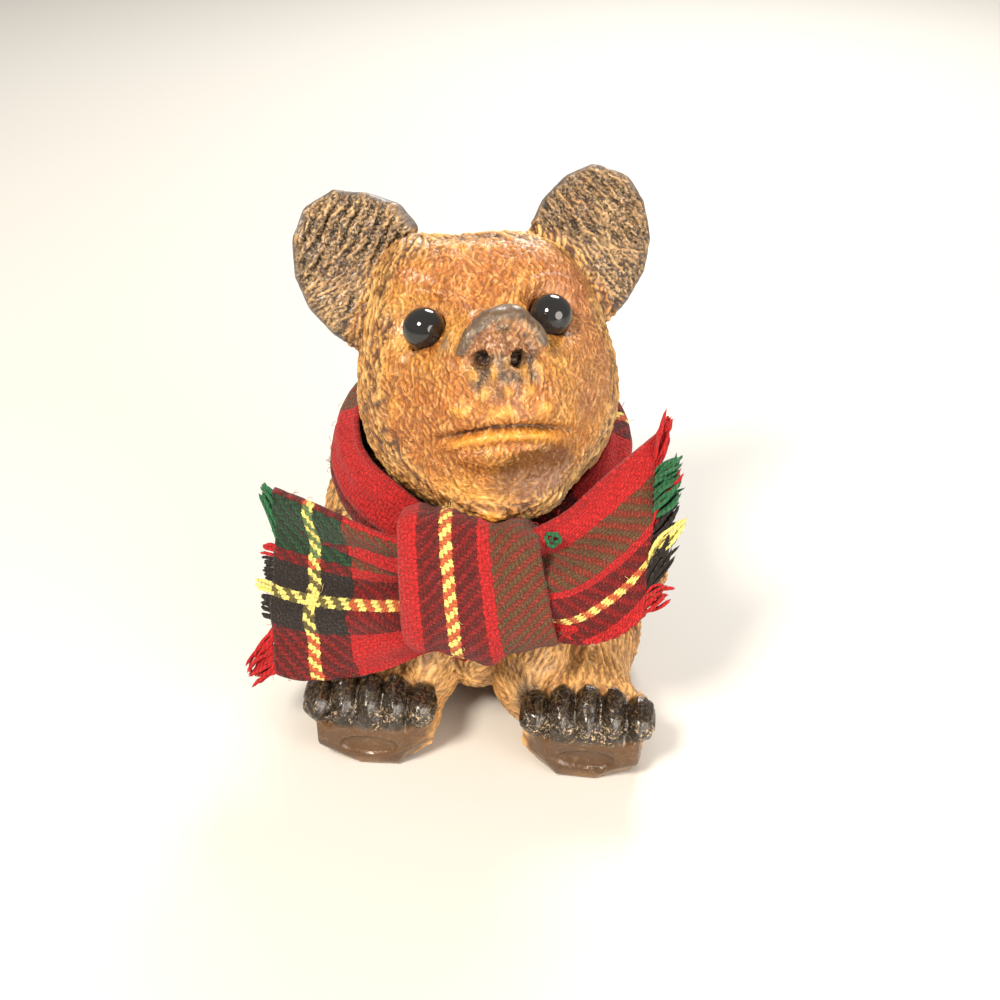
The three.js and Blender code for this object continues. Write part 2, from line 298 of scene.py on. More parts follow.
near, _, _ = along_line(rim_line)
on_rim = bump(near, 2.2) * front
carved += 0.7 * on_rim
on_chin = spot(-3.2, -24.6, 3.6, 1.9) * front
carved += 1.0 * on_chin

# The cheeks: a fold on each side, the left one deeper, and low brows over the eyes.
fold_line = ((-13.6, 6.0), (-15.6, 4.2), (-18.0, 0.8), (-19.6, -2.6), (-20.4, -6.0))
near, _, side = along_line(fold_line)
on_fold = bump(near, 1.0) * front
carved += 0.6 * bump(near - 1.6, 1.5) * (side > 0) * front - 0.7 * on_fold
carved += 0.5 * spot(-12.0, 1.6, 4.4, 2.2, -8) * front
near, _, _ = along_line(((11.0, 0.5), (14.5, -2.5), (16.8, -7.0), (16.2, -11.0)))
carved -= 0.4 * bump(near, 1.0) * front
for x in (-11.5, 11.8):
    carved += 0.5 * bump(np.hypot((head_x - x) / 1.4, head_z - 10.6) - 5.4, 1.4) * (head_z > 9) * front

# The crown runs flat from ear to ear, so it is built up beside the left ear.
beside_ear = np.exp(-(((head_x + 12.5) / 5.5) ** 2) - ((head_y + 3) / 13) ** 2)
carved += 2.6 * beside_ear * ease(head_z, 13, 19) * ease(head_normals[:, 2], 0.2, 0.6)

# A smooth unevenness, made of 14 waves. It moves the edges of regions and makes the paint patchy.
wave_chance = np.random.default_rng(11)
waves = [
    (wave_chance.normal(size=3) * k, wave_chance.uniform(0, 6.28), 1 / (1 + i * 0.25))
    for i, k in enumerate(np.linspace(0.25, 1.6, 14))
]


def wander(points, scale=1.0):
    """A smooth unevenness between about -1 and 1."""
    total = sum(a * np.sin(points @ (w * scale) + p) for w, p, a in waves)
    return total / 3.2


def out_of(x, y, z, rx, ry, rz):
    """The distance out of a blocky oval in the head, as a share of its size."""
    away = np.abs((head - (x, y, z)) / (rx, ry, rz))
    return (away**3).sum(axis=1) ** (1 / 3)


# The ears: flat cut faces with a few long slanting grooves in their upper halves, and planed edges.
out_of_skull = np.minimum(out_of(0, 1, -3, 24.6, 23, 24.2), out_of(0, 3, 3, 21.5, 20, 23.4))
ear = ease(out_of_skull, 1.05, 1.12) * ease(head_z, 3, 7) * ease(np.abs(head_x), 6, 9)
ear_front = ear * ease(-head_normals[:, 1], 0.55, 0.8)
ear_edge = ear * ease(-np.abs(head_normals[:, 1]), -0.75, -0.5)
outward = np.abs(head_x)
slant = outward * 0.80 + head_z * 0.60
grooves = np.abs(((slant + 0.5 * wander(head, 0.4)) / 2.1) % 1 - 0.5) * 2
upper = ease(head_z + outward * 0.25, 26, 31)
ear_groove = ease(grooves, 0.55, 0.95) * ear_front * upper * ease(wander(head, 0.7), -0.9, -0.3)
carved -= 1.2 * ear_groove
carved += 0.35 * wander(head, 1.1) * ear_front

# The toes: five fat lobes on each foot, with deep clefts between them.
foot_middle, toe_pitch = 20.8, 4.9
toe_share = (np.abs(at_x) - foot_middle) / toe_pitch
in_toes = ease(-at_y, 35.5, 38) * ease(at_z, 8.6, 10.0) * ease(-at_z, -20.5, -18.5)
in_toes *= ease(-np.abs(toe_share), -2.9, -2.55)
cleft = np.abs(toe_share + 0.5) % 1
cleft = np.minimum(cleft, 1 - cleft) * (np.abs(toe_share) < 2.2) + (np.abs(toe_share) >= 2.2)
toe_round = np.clip(1 - (1 - 2 * np.clip(cleft, 0, 0.5)) ** 2, 0, 1)
carved += in_toes * (0.45 * toe_round - 0.3 * bump(cleft, 0.13))

# The sockets: the skin is lowered round each bead and drawn in close to its surface.
socket_reach, socket_gap, drawn_from = 6.2, 0.06, 4.05
places = head @ head_turn.T + head_centre + normals * carved[:, None]
for middle in eye_middles:
    way = places - middle
    away = np.linalg.norm(way, axis=1)
    outside = head_turn @ np.array((math.copysign(0.22, middle[0] + 1), -0.93, 0.28))
    beside = np.sqrt(np.clip(away**2 - (way @ outside) ** 2, 0, None))
    lowered = 1.15 * ease(-beside, -7.2, -4.0) * (way @ outside > -2)
    places -= outside * lowered[:, None]
    way = places - middle
    away = np.linalg.norm(way, axis=1)
    socket = away < socket_reach
    slope = (socket_reach - eye_radius - socket_gap) / (socket_reach - drawn_from)
    drawn = eye_radius + socket_gap + np.clip(away - drawn_from, 0, None) * slope
    places[socket] = middle + way[socket] / away[socket][:, None] * drawn[socket][:, None]
put_places(bear.data, places)
rub(bear, 0.4, 1)

# The gouge strokes. Each is a small ridge between two cuts and covers what was cut before it. On the
# face they are short and lie every way, and round the jaw and down the body they are long and flow.
places = mesh_places(bear.data)
normals = mesh_normals(bear.data)
head = (places - head_centre) @ head_turn
head_x, head_y, head_z = head.T
at_x, at_y, at_z = places.T
eye_gap = np.min([np.linalg.norm(places - m, axis=1) for m in eye_middles], axis=0) - eye_radius

on_head = ease(at_z + 0.35 * np.abs(at_y + 6), 44, 48)
around = np.hypot(head_x, head_z + 2)
mane_edge = 22.6 + 1.0 * wander(head, 0.6) - 2.6 * ease(-head_x, 12, 20) - 1.8 * ease(-head_z, 6, 16)
mane_edge += 4.5 * ease(head_z, 9, 17)
face = ease(-head_y, -2, 6) * ease(mane_edge - around, -1.2, 1.2) * on_head
toe_zone = ease(-at_y, 36.5, 38.5) * ease(at_z, 8.5, 10.0) * ease(-at_z, -21, -18.5)
sole_zone = ease(-at_y, 41.5, 43) * ease(-at_z, -10.5, -9.5)
under = ease(-at_z, -0.9, -0.3)

flow = np.tile((0.0, 0.0, -1.0), (len(places), 1))
ring = np.stack([-(head_z + 2), np.zeros(len(head)), head_x], axis=1)
ring /= np.linalg.norm(ring, axis=1)[:, None] + 1e-9
down = np.tile((0.0, 0.0, 1.0), (len(head), 1))
round_jaw = ease(around, 14, 19)[:, None] * ease(-head_z, -12, -4)[:, None]
head_flow = (ring * np.sign(ring[:, 2:3] + 1e-9) * round_jaw + down * (1 - round_jaw)) @ head_turn.T
flow = flow * (1 - on_head)[:, None] + head_flow * on_head[:, None]
leg = ease(-at_y, 14, 24) * ease(-at_z, -30, -22)
flow = flow * (1 - leg)[:, None] + np.array((0.0, -1.0, -0.35)) * leg[:, None]
up_the_ear = np.stack([-0.6 * np.sign(head_x), np.zeros(len(head)), np.full(len(head), 0.8)], axis=1)
up_the_ear = up_the_ear @ head_turn.T
flow = flow * (1 - ear)[:, None] + up_the_ear * ear[:, None]
flow += 0.35 * np.stack([wander(places, 0.35), wander(places + 40, 0.35), wander(places + 80, 0.35)], axis=1)
flow -= normals * (flow * normals).sum(axis=1)[:, None]
flow /= np.linalg.norm(flow, axis=1)[:, None] + 1e-9

tree = KDTree(len(places))
for i, place in enumerate(places):
    tree.insert(place, i)
tree.balance()

chance = np.random.default_rng(7)
relief = np.zeros(len(places))
depth_left = (1 - sole_zone) * (1 - under)
calm = 1 - np.maximum.reduce([
    on_arch * 0.9, hollow * 0.8, on_cut * 0.8, on_lip * 0.75, ear_edge * 0.9, ease(-eye_gap, -0.7, -0.1),
])
weights = {
    "face": face * (1 - ear),
    "mane": on_head * (1 - face) * (1 - ear),
    "body": (1 - on_head) * (1 - toe_zone) * (1 - sole_zone) * (1 - under),
    "ear": ear * (1 - ear_edge),
    "toes": toe_zone,
}
gouges = (
    # where, count, half width, half length, height, spread of direction, curl, how much it covers
    ("body", 2600, 1.7, 4.2, 0.42, 24, 0.10, 0.9),
    ("body", 7000, 0.75, 3.0, 0.19, 22, 0.12, 0.7),
    ("mane", 1300, 1.6, 5.6, 0.50, 14, 0.12, 0.9),
    ("mane", 4200, 0.66, 4.4, 0.26, 14, 0.14, 0.75),
    ("face", 700, 1.6, 3.0, 0.20, 44, 0.14, 0.9),
    ("face", 5200, 0.50, 2.3, 0.15, 34, 0.22, 0.8),
    ("ear", 1500, 0.48, 2.4, 0.20, 16, 0.1, 0.8),
    ("toes", 200, 0.7, 3.0, 0.13, 7, 0.05, 0.8),
)
for where, count, half_width, half_length, height, spread, curl, hold in gouges:
    weight = weights[where]
    starts = chance.choice(len(places), size=count, p=weight / weight.sum())
    turns = np.radians(chance.normal(0, spread, count))
    sizes = chance.uniform(0.75, 1.35, count)
    curls = chance.normal(0, curl, count)
    for start, turn, size, bend in zip(starts, turns, sizes, curls):
        found = tree.find_range(places[start], half_length * size)
        index = np.fromiter((f[1] for f in found), int, len(found))
        n = normals[start]
        across = np.cross(n, flow[start])
        way = flow[start] * math.cos(turn) + across * math.sin(turn)
        across = np.cross(n, way)
        gap = places[index] - places[start]
        u = gap @ way / (half_length * size)
        v = gap @ across / (half_width * math.sqrt(size)) + bend * half_length * (u * u - 0.3)
        cover = np.clip(1 - u * u, 0, 1) * np.clip(1.25 - v * v, 0, 1) * (normals[index] @ n > 0.3)
        cover = np.clip(cover * 2.2, 0, 1) * hold
        profile = (1.2 * np.cos(np.pi * np.clip(v, -1.1, 1.1)) - 0.3) * size * height
        ground = relief[index]
        relief[index] = ground + cover * (profile + (0.0 if half_width > 1.2 else 0.55) * ground - ground)
relief *= depth_left * calm * (1 - 0.3 * leg)
relief += 0.12 * wander(places, 2.2) * depth_left * (1 - 0.5 * face) * (1 - 0.7 * toe_zone)
cast_places = places + normals * relief[:, None]
under_floor = cast_places[:, 2] < 0
cast_places[under_floor, 2] = 0
put_places(bear.data, cast_places)

# The paint is worked out where each cut lies, and the casting is then thinned to a lighter mesh that
# carries it: a honey coat, the dark wash in the cuts, black on ears, nose and toes, brown soles.
def pigment(red, green, blue):
    """A colour as it is seen, turned to the linear values that a shader takes."""
    return np.array([((c / 255 + 0.055) / 1.055) ** 2.4 for c in (red, green, blue)])


def coat(under_paint, over_paint, share):
    """Lays one colour over another, by its share at each place."""
    return under_paint * (1 - share[:, None]) + over_paint * share[:, None]


def plain(*colour):
    """One colour for every place."""
    return np.tile(pigment(*colour), (len(places), 1))


patchy = 0.5 + 0.5 * wander(places, 0.45)
patchy_too = 0.5 + 0.5 * wander(places + 150, 0.9)
raised = ease(relief, -0.16, 0.14)
raised_far = ease(relief, -0.26, 0.20)
honey = coat(plain(208, 128, 46), pigment(244, 174, 76), ease(patchy, 0.2, 0.8))
face_paint = coat(coat(honey * 0.42, honey, raised), pigment(252, 208, 124), 0.55 * ease(relief, 0.08, 0.3))
# Painted shade: the lower right of the face is painted a darker, duller brown, as it turns away from the key light.
face_paint = coat(face_paint, pigment(156, 100, 66), 0.6 * ease(head_x, 9, 17) * ease(head_z, -14, -6))
tan = coat(plain(208, 146, 70), pigment(240, 190, 110), ease(patchy_too, 0.2, 0.8))
coarse_paint = coat(coat(plain(84, 48, 20), tan, raised_far),
                    pigment(252, 222, 156), 0.5 * ease(relief, 0.12, 0.5))
# Painted light: the legs are painted lighter, as if brightly lit, and most on the raised strokes.
coarse_paint = coat(coarse_paint, pigment(244, 188, 116), leg * (0.25 + 0.45 * raised))
paint = coat(coarse_paint, face_paint, face * (1 - ear))
nose_front = coat(plain(134, 84, 44), pigment(56, 47, 40), ease(wander(head, 2.4), -0.3, 0.5))
ear_black = coat(plain(44, 36, 33), pigment(178, 146, 106), raised)
toward_head = ease(-np.hypot(np.abs(head_x) - 8, head_z - 14), -17, -6)
ear_cover = ear * (1 - 0.85 * toward_head)
toe_black = coat(plain(14, 11, 9), pigment(46, 35, 24), raised)
sole_brown = coat(plain(64, 40, 17), pigment(92, 62, 30), patchy)
for over_paint, share in (
    # Painted shade: the scooped chin under the lip is darkened, as it faces down.
    (pigment(92, 50, 14), 0.8 * ease(scoop, 0.02, 0.5)),
    (pigment(232, 156, 42), 0.75 * on_lip),
    (pigment(236, 162, 48), 0.8 * on_chin),
    (pigment(84, 44, 16), 0.9 * on_cut),
    (pigment(112, 62, 26), 0.6 * on_fold),
    (nose_front, 0.9 * within_arch),
    (pigment(236, 170, 66), 0.75 * on_drips * ease(-head_z, -3, -0.5)),
    (pigment(64, 57, 49), 0.92 * ease(on_arch, 0.1, 0.5)),
    (pigment(46, 18, 7), ease(hollow, 0.2, 0.7)),
    # Painted shadow: a dark reddish ring on the skin round each eye bead.
    (pigment(96, 44, 18), 0.75 * ease(-eye_gap, -1.0, 0.0)),
    (ear_black, 0.8 * ear_cover),
    (pigment(30, 25, 22), 0.85 * ear_groove),
    (pigment(92, 92, 96), 0.9 * ear_edge * ease(ear, 0.5, 1)),
    (toe_black, toe_zone),
    (sole_brown, sole_zone),
    (pigment(150, 108, 62), under),
):
    paint = coat(paint, over_paint, share)

# Three more values go to the material: gold flecks, fine strokes and roughness.
toe_gold = toe_zone * ease(wander(places, 1.6), 0.0, 0.4) * ease(-at_z, -14.5, -12)
fleck = (0.38 + 0.4 * wander(head, 0.8)) * ear_cover * (1 - ear_edge)
fleck = np.clip(fleck + 0.7 * toe_gold + 0.06 * toe_zone + 0.25 * within_arch, 0, 1)
# The fine strokes are weakened in the scooped chin, as part of its painted shade.
fine = 1 - 0.35 * ease(scoop, 0.02, 0.5) - sole_zone * 0.8 - under - ear_edge * 0.6
fine = np.clip(fine - 0.7 * on_arch - 0.85 * toe_zone - hollow, 0.05, 1)
rough = 0.46 - 0.28 * toe_zone - 0.22 * sole_zone + 0.35 * hollow + 0.06 * ear
rough = rough + 0.08 * (1 - face) * (1 - ear) * (1 - toe_zone)

# The mesh is thinned where it is hidden or dark first, and then all over.
most_triangles, first_pass = 190000, 0.8
dense = KDTree(len(cast_places))
for i, place in enumerate(cast_places):
    dense.insert(place, i)
dense.balance()
hidden = ease(at_y, 4, 12) + ease(-at_z, -4, -1) + ease(-np.abs(at_z - 40), -7, -3)
hidden = np.clip(hidden, 0, 1)
spare = bear.vertex_groups.new(name="spare")
for level in range(5):
    chosen = np.nonzero(np.round(hidden * 4) == level)[0]
    spare.add([int(i) for i in chosen], level / 4, "REPLACE")
for ratio, group in ((first_pass, "spare"), (most_triangles / (2 * len(cast_places)) / first_pass, "")):
    thin = bear.modifiers.new("thin", "DECIMATE")
    thin.ratio = ratio
    thin.vertex_group = group
    bpy.ops.object.modifier_apply(modifier=thin.name)
bpy.ops.object.shade_smooth()
kept = mesh_places(bear.data)
from_dense = np.array([dense.find(place)[1] for place in kept])
for name, values, kind, part in (
    ("paint", paint, "FLOAT_COLOR", "color"),
    ("finish", np.stack([fleck, fine, rough], axis=1), "FLOAT_COLOR", "color"),
    ("flow", flow, "FLOAT_VECTOR", "vector"),
    ("facing", normals, "FLOAT_VECTOR", "vector"),
):
    layer = bear.data.attributes.new(name, kind, "POINT")
    values = np.asarray(values[from_dense], np.float32)
    if part == "color":
        values = np.column_stack([values, np.ones(len(values), np.float32)])
    layer.data.foreach_set(part, values.ravel())


class Bench:
    """Makes one material and adds nodes to it, each given its inputs as it is made."""

    def __init__(self, name):
        self.material = bpy.data.materials.new(name)
        self.material.use_nodes = True
        self.tree = self.material.node_tree
        self.finish = self.tree.nodes["Principled BSDF"]
        self.place = self.add("TexCoord").outputs["Object"]

    def add(self, kind, inputs=(), **settings):
        node = self.tree.nodes.new("ShaderNode" + kind)
        for key, value in settings.items():
            setattr(node, key, value)
        for key, value in dict(inputs).items():
            self.join(value, node.inputs[key])
        return node

    def join(self, value, socket):
        if isinstance(value, bpy.types.NodeSocket):
            self.tree.links.new(value, socket)
        else:
            socket.default_value = value

    def sum(self, operation, *values):
        return self.add("Math", dict(enumerate(values)), operation=operation).outputs[0]

    def vector(self, operation, *values, out=0):
        return self.add("VectorMath", dict(enumerate(values)), operation=operation).outputs[out]

    def between(self, value, low, high, to_low=0.0, to_high=1.0):
        return self.add("MapRange", {0: value, 1: low, 2: high, 3: to_low, 4: to_high}, clamp=True).outputs[0]

    def blend(self, share, first, second, how="MIX"):
        node = self.add("Mix", {0: share, 6: first, 7: second}, data_type="RGBA", blend_type=how)
        return node.outputs[2]

    def attribute(self, name):
        return self.add("Attribute", attribute_name=name)

    def times(self, *values):
        return self.sum("MULTIPLY", *values)

    def noise(self, scale, detail, roughness=0.5, at=None, out=0):
        at = self.place if at is None else at
        inputs = {"Vector": at, "Scale": scale, "Detail": detail, "Roughness": roughness}
        return self.add("TexNoise", inputs).outputs[out]

    def shaded(self, colour, shade):
        grey = self.add("CombineColor", {0: shade, 1: shade, 2: shade})
        return self.blend(1.0, colour, grey.outputs[0], how="MULTIPLY")

    def relief(self, height, strength, depth):
        return self.add("Bump", {"Height": height, "Strength": strength, "Distance": depth}).outputs[0]

    def surface(self, values):
        for name, value in values.items():
            self.join(value, self.finish.inputs[name])


bench = Bench("painted_resin")
facing = bench.attribute("facing").outputs["Vector"]
run = bench.attribute("flow").outputs["Vector"]
side_run = bench.vector("CROSS_PRODUCT", facing, run)
finish_parts = bench.add("SeparateColor", {0: bench.attribute("finish").outputs["Color"]})
fleck_share, fine_share, rough_share = (finish_parts.outputs[i] for i in range(3))


def small_strokes(cell, across, along, seed):
    """Patches of short parallel cuts. Each patch is turned its own way about the surface's normal."""
    shifted = bench.vector("ADD", bench.place, (seed, seed * 0.7, seed * 1.3))
    wobble = bench.noise(900.0, 1.0, at=shifted, out="Color")
    bent = bench.vector("MULTIPLY_ADD", wobble, (0.0011,) * 3, shifted)
    patch = bench.add("TexVoronoi", {"Vector": bent, "Scale": 1 / cell})
    rest = bench.vector("SUBTRACT", bent, patch.outputs["Position"])
    lot = bench.add("SeparateColor", {0: patch.outputs["Color"]})
    angle = bench.sum("MULTIPLY_ADD", lot.outputs[0], 1.6, -0.8)
    turned = bench.add("VectorRotate", {"Vector": rest, "Axis": facing, "Angle": angle}, rotation_type="AXIS_ANGLE")
    u = bench.times(bench.vector("DOT_PRODUCT", turned.outputs[0], run, out=1), along)
    v = bench.times(bench.vector("DOT_PRODUCT", turned.outputs[0], side_run, out=1), across)
    w = bench.times(lot.outputs[1], 40.0)
    streak = bench.add("CombineXYZ", {0: u, 1: v, 2: w})
    return bench.noise(1.0, 1.5, at=streak.outputs[0])


strokes = small_strokes(0.0034, 1500.0, 230.0, 0.0)
strokes_over = small_strokes(0.0023, 2300.0, 380.0, 0.31)
cut = bench.sum("ADD", bench.times(strokes, 0.6), bench.times(strokes_over, 0.4))
grain = bench.noise(1700.0, 4.0, 0.65)
pits = bench.noise(2600.0, 2.0)
base = bench.attribute("paint").outputs["Color"]
wash = bench.between(cut, 0.38, 0.56)
wash_amount = bench.times(bench.sum("SUBTRACT", 1.0, wash), bench.times(fine_share, 0.5))
darkened = bench.blend(wash_amount, base, (0.30, 0.20, 0.13, 1), how="MULTIPLY")
lit = bench.times(bench.between(cut, 0.54, 0.66), bench.times(fine_share, 0.42))
lifted = bench.blend(lit, darkened, (0.88, 0.56, 0.24, 1))
gold_flakes = bench.times(bench.between(grain, 0.53, 0.60), fleck_share)
gilded = bench.blend(gold_flakes, lifted, (0.80, 0.60, 0.36, 1))
tint = bench.between(bench.noise(160.0, 3.0), 0.35, 0.7, 0.0, 0.22)
height = bench.times(fine_share, bench.sum("MULTIPLY_ADD", grain, 0.35, cut))
height = bench.sum("MULTIPLY_ADD", bench.times(grain, fleck_share), 1.2, height)
bench.surface({
    "Base Color": bench.blend(tint, gilded, (0.62, 0.36, 0.20, 1), how="MULTIPLY"),
    "Roughness": bench.sum("MULTIPLY_ADD", bench.sum("SUBTRACT", pits, 0.5), 0.35, rough_share),
    "Specular IOR Level": 0.5,
    "Coat Weight": 0.28,
    "Coat Roughness": 0.22,
    "Normal": bench.relief(height, 0.9, 0.0007),
})
bear.data.materials.clear()
bear.data.materials.append(bench.material)
bear.vertex_groups.clear()
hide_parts("bear")
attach(bear, "root")

# The eyes: two black glass beads, pressed into sockets and glued. Each has a small flat where its
# wire was cut, which is hidden in the socket.
bench = Bench("black_glass")
haze = bench.noise(420.0, 2.0)
bench.surface({
    "Base Color": (0.012, 0.012, 0.013, 1),
    "Roughness": bench.between(haze, 0.3, 0.7, 0.04, 0.10),
    "IOR": 1.5,
    "Coat Weight": 0.15,
    "Coat Roughness": 0.05,
})
for node, middle in zip(("eye_left", "eye_right"), eye_middles):
    bpy.ops.object.select_all(action="DESELECT")
    bpy.ops.mesh.primitive_uv_sphere_add(
        segments=64, ring_count=32, radius=eye_radius / 1000, location=middle / 1000,
    )
    bead = bpy.context.object
    bpy.ops.object.mode_set(mode="EDIT")
    bpy.ops.mesh.select_all(action="SELECT")
    cut_at = Vector(middle / 1000) + Vector((0, 0, 0.93 * eye_radius / 1000))
    bpy.ops.mesh.bisect(plane_co=cut_at, plane_no=(0, 0, 1), use_fill=True, clear_outer=True)
    bpy.ops.mesh.inset(thickness=0.0007, depth=0)
    bpy.ops.mesh.inset(thickness=0.0002, depth=0.0002)
    bpy.ops.object.mode_set(mode="OBJECT")
    bead.name = node + "_bead"
    bead.rotation_euler = Vector(head_turn @ np.array((0, 1, 0))).to_track_quat("Z", "Y").to_euler()
    bpy.ops.object.transform_apply(location=True, rotation=True, scale=True)
    bpy.ops.object.shade_smooth()
    bead.data.materials.append(bench.material)
    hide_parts(node)
    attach(bead, "root")

# The scarf: a narrow strip of woven tartan wool, 60 warps wide, tied round the neck. It goes round in
# a band of soft pleats, and its two ends come out of a flat knot, which one turn of the cloth wraps.
# It is made of four lengths of the strip, which run into each other inside the knot.
yarn_pitch = 0.74
warp_count = 60
scarf_width = yarn_pitch * warp_count
scarf_length = 296.0
pick_count = round(scarf_length / yarn_pitch)
cloth_thickness, cloth_gap = 1.1, 0.75
cast_tree = BVHTree.FromPolygons(
    [v.co.copy() * 1000 for v in bear.data.vertices], [tuple(p.vertices) for p in bear.data.polygons]
)


def curve_through(points, share):
    """Places on a smooth curve through the points, at shares of its length from 0 to 1."""
    points = np.array(points, float)
    count = len(points) - 1
    padded = np.vstack([2 * points[0] - points[1], points, 2 * points[-1] - points[-2]])
    spread = np.clip(share * count, 0, count - 1e-6)
    i = spread.astype(int)
    t = (spread - i)[:, None]
    a, b, c, d = padded[i], padded[i + 1], padded[i + 2], padded[i + 3]
    place = 0.5 * (2 * b + (c - a) * t + (2 * a - 5 * b + 4 * c - d) * t**2 + (3 * b - a - 3 * c + d) * t**3)
    beyond = (np.minimum(share, 0) + np.maximum(share - 1, 0))[:, None]
    ends = np.where(share[:, None] < 0, points[1] - points[0], points[-1] - points[-2]) * count
    return place + beyond * ends


def ripple(turns, phase=0.0):
    return np.sin(2 * np.pi * turns + phase)


def unit(vectors):
    return vectors / (np.linalg.norm(vectors, axis=-1, keepdims=True) + 1e-12)


def woven_length(name, columns, rows, first_warp, last_warp, start, end, shape):
    """One length of the strip: a grid whose columns are warps and whose rows run from start to end."""
    bpy.ops.object.select_all(action="DESELECT")
    bpy.ops.mesh.primitive_grid_add(x_subdivisions=columns, y_subdivisions=rows, size=1, calc_uvs=True)
    piece = bpy.context.object
    piece.name = name
    flat = mesh_places(piece.data) / 1000 + 0.5
    warp = first_warp + (last_warp - first_warp) * flat[:, 0]
    share = flat[:, 1]
    put_places(piece.data, shape(warp, share))
    corners = np.empty(len(piece.data.loops), int)
    piece.data.loops.foreach_get("vertex_index", corners)
    layer = piece.data.uv_layers[0]
    layer.name = "weave"
    along = (start + (end - start) * share) / scarf_length
    layer.data.foreach_set("uv", np.stack([warp[corners], along[corners]], axis=1).astype(np.float32).ravel())
    return piece


# The ends of the strip: each leaves the knot in pleats and opens out. One edge is turned under.
def strip_end(upper, at_knot, at_end, side, wide_at_knot, wide_at_end, tuck, pleat, phase):
    """Gives a function that shapes one end: the upper edge is a curve and the cloth drops from it."""
    def shape(warp, share):
        across = 1 - warp if side > 0 else warp
        hidden_part = tuck[0] + (tuck[1] - tuck[0]) * np.clip(share, 0, 1)
        down = np.clip(across / (1 - hidden_part), 0, 1)
        under_edge = np.clip(across - (1 - hidden_part), 0, 1)
        if side < 0:
            down = 1 - down
        edge = curve_through(upper, share)
        way = unit(curve_through(upper, share + 0.02) - curve_through(upper, share - 0.02))
        open_share = np.clip(share, 0, 1)
        drop = unit(np.array(at_knot) * (1 - open_share)[:, None] + np.array(at_end) * open_share[:, None])
        normal = unit(np.cross(drop, way)) * side
        width = scarf_width * (wide_at_knot + (wide_at_end - wide_at_knot) * ease(open_share, -0.15, 1.0))
        closed = (1 - open_share) ** 1.2
        wave = (2.0 * closed + 0.45) * ripple(pleat * down + 0.18 * share, phase)
        wave += (0.9 * closed + 0.25) * ripple(2.3 * pleat * down - 0.3 * share, 2.1 * phase)
        wave += 0.5 * np.sin(5.0 * share + 3.0 * down + phase) * open_share
        turned = under_edge * scarf_width
        place = edge + drop * (down * width - side * 0.92 * turned)[:, None]
        return place + normal * (wave - 1.7 * np.clip(turned / 1.5, 0, 1))[:, None]

    return shape


left_upper = ((-10, -34.5, 46), (-19, -31.5, 46.5), (-30.5, -25.2, 46.2), (-42.4, -17.2, 44.8))
right_upper = ((8, -35, 49.5), (15.5, -31.5, 52.4), (23.2, -24.4, 57), (31.0, -16.4, 61.0))
left_shape = strip_end(
    left_upper, (0.05, -0.24, -0.97), (0.075, -0.59, -0.81), -1, 0.50, 0.81, (0.18, 0.18), 1.6, 0.6,
)
right_shape = strip_end(
    right_upper, (0.08, -0.42, -0.92), (-0.02, -0.76, -0.66), 1, 0.39, 0.76, (0.30, 0.14), 1.5, 2.2,
)
left_end = woven_length(
    "left_end", 78, 56, 0, 1, 0.0, 38.0, lambda warp, share: left_shape(warp, 1 - 1.22 * share),
)
right_end = woven_length(
    "right_end", 78, 52, 0, 1, scarf_length - 31, scarf_length,
    lambda warp, share: right_shape(warp, 1.1 * share - 0.1),
)

# The band: the strip gathered into pleats that run round the neck and close in on the knot.
band_middle = np.array((-3.2, -3.5, 47.5))
band_lean = np.array(Matrix.Rotation(math.radians(20), 3, "X"))
band_wide, band_deep = 25.8, 24.2


def band_shape(warp, share):
    """The strip is folded in two lengthwise: the outer layer goes down to the fold, the inner one goes back up."""
    turn = -math.pi / 2 - 2 * math.pi * (0.0075 + 0.985 * share)
    fold = 0.54
    rise = np.where(warp < fold, 1 - warp / fold, 0.75 * (warp - fold) / (1 - fold))
    inner = ease(warp, fold - 0.015, fold + 0.05)
    at_knot = ease(np.abs(share - 0.5), 0.40, 0.5)
    left_front = np.exp(-(((share - 0.10) / 0.10) ** 2))
    half = 8.6 * (1 - 0.42 * at_knot) + 2.2 * left_front
    creases = 0.75 * ripple(2.4 * rise + 0.5 * np.sin(4 * share + 1.2))
    creases += 0.45 * ripple(4.7 * rise + 1.3 * share)
    creases *= 1 - 0.4 * ease(rise, 0.8, 1)
    crown = 3.4 * (1 - (2 * rise - 1) ** 2)
    out = crown + creases - 2.4 * inner - 1.6 * ease(rise, 0.55, 1)
    up = (2 * rise - 1) * half + 1.2 * np.sin(5 * share)
    ring = np.stack([np.cos(turn) * (band_wide + out), np.sin(turn) * (band_deep + out), up], axis=1)
    return ring @ band_lean.T + band_middle


band = woven_length("neck_band", 84, 210, 0, 1, 40.0, 205.0, band_shape)

# The knot: one turn of the strip over the crossing. Its left edge is rolled and its right one tucked in.
knot_middle = np.array((-0.7, -36.2, 38.5))
knot_lean = np.array(Matrix.Rotation(math.radians(-17), 3, "X"))
knot_depth, knot_height = 8.4, 12.9


